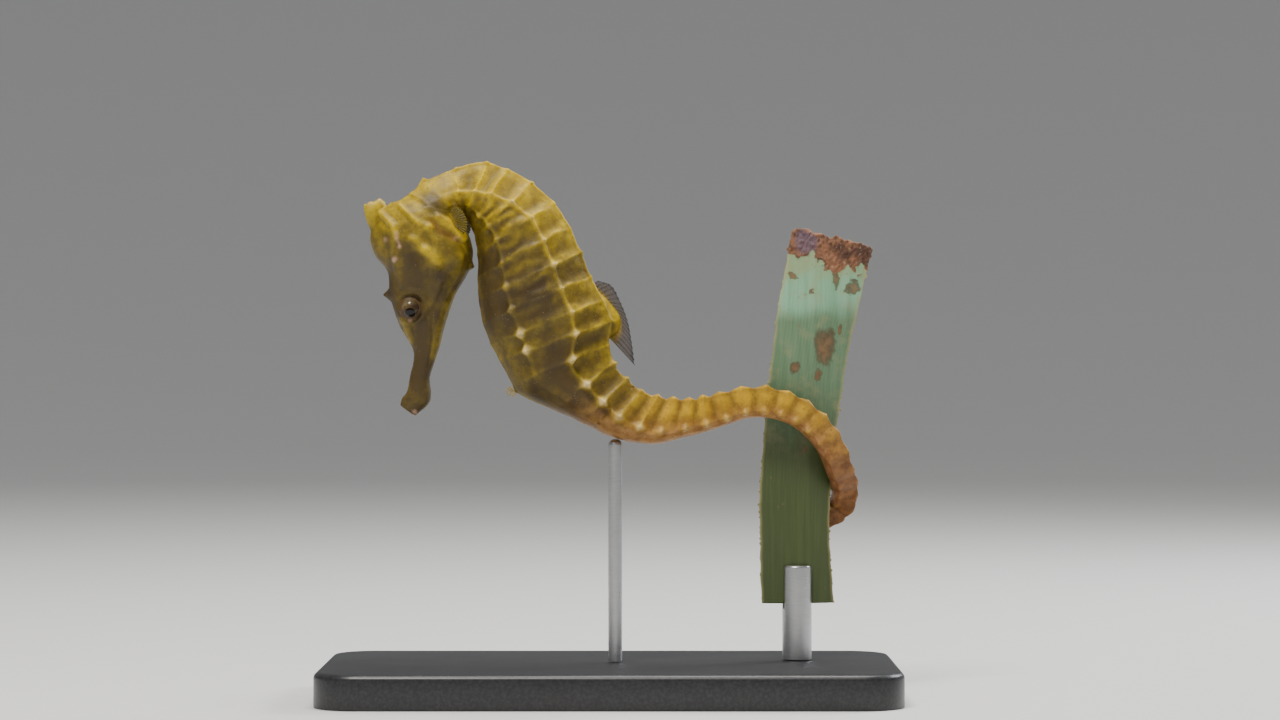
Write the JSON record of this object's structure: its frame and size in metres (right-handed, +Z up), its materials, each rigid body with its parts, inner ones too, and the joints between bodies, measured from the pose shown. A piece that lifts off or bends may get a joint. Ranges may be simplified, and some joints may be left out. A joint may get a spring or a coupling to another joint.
{
  "type": "seahorse model on a display stand",
  "caption": "Life-size seahorse, bent-necked and side on, its tail wrapped round a cut length of strap leaf, held by rods on a flat base.",
  "frame": {"origin": "centre of the underside of the stand's base, on the surface it stands on", "axes": "+Z up; +X from the snout towards the leaf, the long way of the base; the animal's left side faces -Y"},
  "size_m": [0.066, 0.034, 0.0617],
  "materials": {
    "skin": "painted cast skin, satin, yellow back and brown-olive sides",
    "fin": "thin translucent membrane with fine rays",
    "eye": "polished eye",
    "leaf": "ribbed green leaf with brown algae spots",
    "base": "black satin plate with softened edges",
    "rod": "fine brushed rod"
  },
  "bodies": {
    "root": {"head": "skin", "snout": "skin", "coronet": "skin", "eye_left": "eye", "eye_right": "eye", "neck": "skin", "trunk_upper": "skin", "trunk_middle": "skin", "trunk_lower": "skin", "pouch": "skin", "tail_1": "skin", "tail_2": "skin", "tail_3": "skin", "tail_4": "skin", "tail_5": "skin", "tail_6": "skin", "tail_7": "skin", "dorsal_fin": "fin", "anal_fin": "fin", "pectoral_fin_left": "fin", "pectoral_fin_right": "fin", "perch_leaf": "leaf", "stand_base": "base", "stand_rod_body": "rod", "stand_rod_perch": "rod"}
  },
  "joints": []
}
